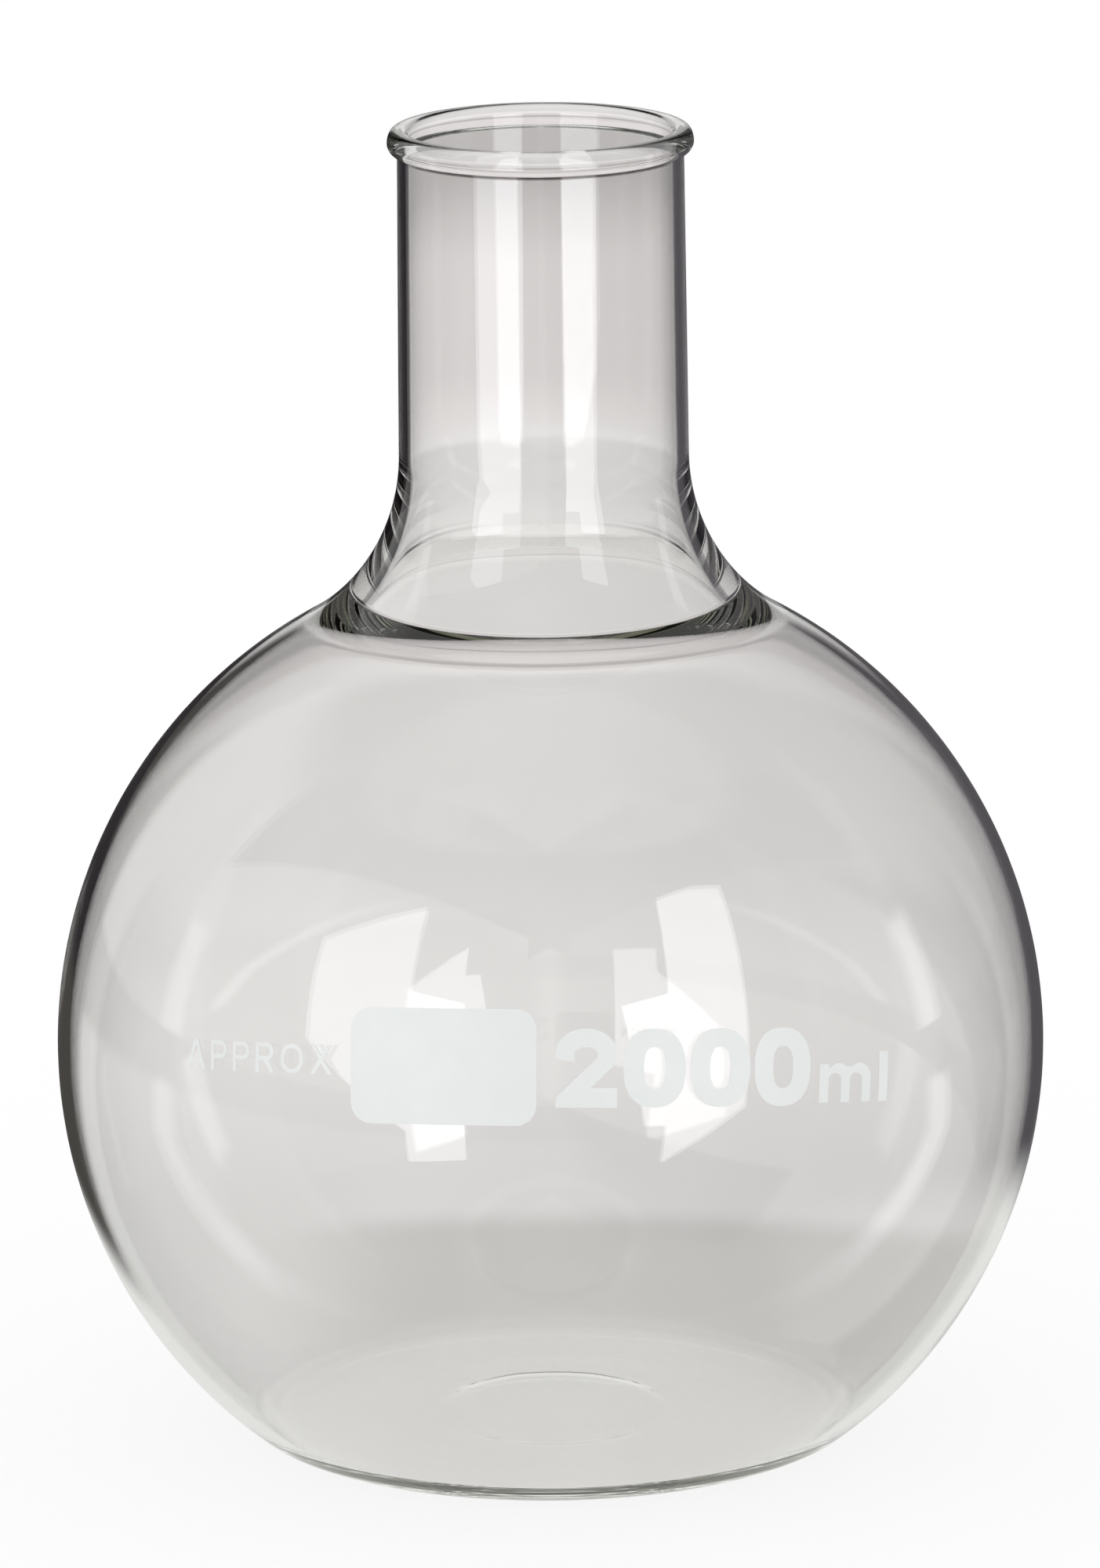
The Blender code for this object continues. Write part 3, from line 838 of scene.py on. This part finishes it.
def makeBench(setup):
    material, tree, output = newMaterial("paleBench")
    material.cycles.emission_sampling = "NONE"
    rays = rayKinds(tree)
    spot, across, behind, _ = splitPlace(tree, "Object")
    length = addNode(tree, "ShaderNodeVectorMath", operation="LENGTH")
    wire(tree, spot, length.inputs[0])
    distance = length.outputs["Value"]
    surface = addNode(tree, "ShaderNodeBsdfDiffuse")
    paper = mixColours(tree, addMottle(tree, 0.25, 1.0, 1.5).outputs["Mask"], *setup["paper"])
    wire(tree, paper, surface.inputs["Color"])
    paintedThroughTone = paintedBenchThrough(tree, distance, across, paintedThroughTones)
    bounces, glow = rays["bounces"], setup["paintedStripGlow"]
    paintedReflectionTone = paintedBenchReflection(tree, distance, across, behind, bounces, glow, edgePlan["bench"])
    seenTone = mixColours(tree, rays["turned"], paintedThroughTone, paintedReflectionTone)
    seen = maths(tree, "MAXIMUM", rays["turned"], rays["through"])
    light = addNode(tree, "ShaderNodeEmission")
    wire(tree, mixColours(tree, seen, (setup["white"],) * 3, seenTone), light.inputs["Color"])
    far = ramp(tree, distance, *setup["shadeReach"], 1.0 - setup["shade"], 1.0)
    blendShaders(tree, maths(tree, "MAXIMUM", far, seen), surface, light, output)
    bm = bmesh.new()
    bmesh.ops.create_circle(bm, cap_ends=True, segments=96, radius=setup["benchRadius"])
    bench = finishPiece("bench", bm, material)
    bench.location.z = -setup["benchDrop"]


def blendShaders(tree, factor, first, second, output):
    blend = addNode(tree, "ShaderNodeMixShader")
    wire(tree, factor, blend.inputs[0])
    wire(tree, first.outputs[0], blend.inputs[1])
    wire(tree, second.outputs[0], blend.inputs[2])
    wire(tree, blend.outputs[0], output.inputs["Surface"])


# Painted reflections: the room the world shows to rays turned by the glass, with a painted glowing strip on
# each side.
def paintedRoomReflection(tree, across, behind, upward, bounces, glow, plan):
    corner = both(tree, ramp(tree, across, *plan["cornerAcross"]), ramp(tree, upward, *plan["cornerUp"]))
    tone = mixColours(tree, corner, farTone(tree, across), paintedReflectionTones["corner"])
    side = maths(tree, "ABSOLUTE", across)
    ahead = maths(tree, "SUBTRACT", maths(tree, "MULTIPLY", side, edgePlan["wallSplay"]), behind)
    tone = mixColours(tree, ramp(tree, ahead, *plan["wall"]), tone, wallTone(tree, across))
    overhead = ramp(tree, side, *plan["overhead"])
    ceiling = mixColours(tree, overhead, paintedReflectionTones["overhead"], paintedReflectionTones["ceiling"])
    tone = mixColours(tree, ramp(tree, upward, *plan["ceilingUp"]), tone, ceiling)
    straightBehind = ramp(tree, behind, *plan["backdropBehind"])
    backdrop = both(tree, ramp(tree, side, *plan["backdropAcross"]), straightBehind)
    tone = mixColours(tree, backdrop, tone, paintedReflectionTones["near"])
    slope = maths(tree, "DIVIDE", behind, maths(tree, "MAXIMUM", side, 0.001))
    offStrip = maths(tree, "ABSOLUTE", maths(tree, "SUBTRACT", slope, plan["stripSlope"]))
    strip = both(tree, ramp(tree, offStrip, *plan["stripEdge"]), ramp(tree, upward, *plan["stripUp"]))
    return paintDeepBounceShade(tree, bounces, mixColours(tree, strip, tone, (glow,) * 3))


def makeWorld(setup):
    world = bpy.data.worlds.new("studioRoom")
    scene.world = world
    world.use_nodes = True
    world.cycles.sampling_method = "NONE"
    tree = world.node_tree
    tree.nodes.clear()
    output = addNode(tree, "ShaderNodeOutputWorld")
    rays = rayKinds(tree)
    _, across, behind, upward = splitPlace(tree, "Generated")
    bounces, glow = rays["bounces"], setup["paintedStripGlow"]
    # Painted reflections for rays turned by the glass, painted tones for rays through it, and plain white
    # to the eye.
    paintedReflectionTone = paintedRoomReflection(tree, across, behind, upward, bounces, glow, edgePlan["room"])
    straightTone = mixColours(tree, rays["through"], (setup["roomLight"],) * 3, paintedThroughTones["room"])
    tone = mixColours(tree, rays["turned"], straightTone, paintedReflectionTone)
    light = addNode(tree, "ShaderNodeBackground")
    wire(tree, mixColours(tree, rays["camera"], tone, (setup["white"],) * 3), light.inputs["Color"])
    wire(tree, light.outputs[0], output.inputs["Surface"])


# A dark flag on each side keeps the upper part of its panel out of the flare under the neck: a painted dark
# reflection, a dim glowing sheet that only reflections see.
flagSetup = {"distance": 0.16, "low": 0.202, "high": 0.36, "width": 0.34}


# Two light panels stand close in front, left and right: their reflections are the windows on the bulb and
# the stripes on the neck. Each is a tall sheet and a short one in one plane, square to its azimuth.
# In millimetres: the middle of the lower edge, the width and the heights at the middle. In degrees: the
# lean and the slopes of the lower and upper edges.
lightPanels = {
    "left": {
        "azimuth": -42.0,
        "distance": 0.30,
        "sheets": {
            "Tall": {"along": 8, "width": 122, "low": 80, "high": 275, "lean": -5, "slopes": (-33, 35)},
            "Short": {"along": 105, "width": 70, "low": 8, "high": 193, "lean": -3, "slopes": (0, 0)},
        },
    },
    "right": {
        "azimuth": 42.0,
        "distance": 0.30,
        "sheets": {
            "Tall": {"along": -62, "width": 95, "low": 30, "high": 340, "lean": 8, "slopes": (30, -20)},
            "Short": {"along": -97, "width": 65, "low": 45, "high": 192, "lean": -8, "slopes": (0, 0)},
        },
    },
}


def sheetCorners(sheet):
    half = sheet["width"] / 2
    shift = (sheet["high"] - sheet["low"]) * math.tan(math.radians(sheet["lean"]))
    dip, rise = (half * math.tan(math.radians(slope)) for slope in sheet["slopes"])
    left, right = sheet["along"] - half, sheet["along"] + half
    bottom = [(left, sheet["low"] - dip), (right, sheet["low"] + dip)]
    top = [(right + shift, sheet["high"] + rise), (left + shift, sheet["high"] - rise)]
    return [(sideways * mm, up * mm) for sideways, up in bottom + top]


# A glowing sheet, named a cloth, that only shows to rays turned once or twice by the glass: the light
# panels, and the flags' painted dark reflections.
def makeCloth(name, patchSize, contrast, tones, strength):
    material, tree, output = newMaterial(name)
    material.cycles.emission_sampling = "NONE"
    light = addNode(tree, "ShaderNodeEmission")
    weave = addMottle(tree, patchSize, 1.0, contrast)
    wire(tree, mixColours(tree, weave.outputs["Mask"], *tones), light.inputs["Color"])
    light.inputs["Strength"].default_value = strength
    clear = addNode(tree, "ShaderNodeBsdfTransparent")
    blendShaders(tree, rayKinds(tree)["fresh"], clear, light, output)
    return material


# A flat upright sheet, square to its azimuth; only reflections see it.
def hangSheet(name, azimuth, distance, corners, material):
    angle = math.radians(azimuth)
    middle = Vector((math.sin(angle), -math.cos(angle), 0.0)) * distance
    along = Vector((math.cos(angle), math.sin(angle), 0.0))
    bm = bmesh.new()
    verts = [bm.verts.new(middle + along * sideways + Vector((0.0, 0.0, up))) for sideways, up in corners]
    edges = [bm.edges.new(pair) for pair in zip(verts, verts[1:] + verts[:1])]
    bmesh.ops.triangle_fill(bm, use_beauty=True, edges=edges)
    sheet = finishPiece(name, bm, material)
    sheet.visible_camera = False
    sheet.visible_diffuse = False
    sheet.visible_shadow = False


def makeFlag(name, azimuth, flag, tone):
    material = makeCloth(name + "Cloth", 0.004, 2.0, (tone, tuple(1.3 * value for value in tone)), 1.0)
    half = flag["width"] / 2
    corners = ((-half, flag["low"]), (half, flag["low"]), (half, flag["high"]), (-half, flag["high"]))
    hangSheet(name, azimuth, flag["distance"], corners, material)


makeBench(studio)
makeWorld(studio)
softTones = (0.94, 0.97, 1.0), (1.0, 1.0, 1.0)
panelMaterial = makeCloth("lightPanel", 0.12, 0.5, softTones, studio["panelGlow"])
for panelName, panel in lightPanels.items():
    for sheetName, sheet in panel["sheets"].items():
        lightName = panelName + sheetName + "Light"
        hangSheet(lightName, panel["azimuth"], panel["distance"], sheetCorners(sheet), panelMaterial)
    makeFlag(panelName + "Flag", panel["azimuth"], flagSetup, studio["flagTone"])
scene.cycles.max_bounces = 48
scene.cycles.glossy_bounces = 32
scene.cycles.transmission_bounces = 32
print("studio lit")
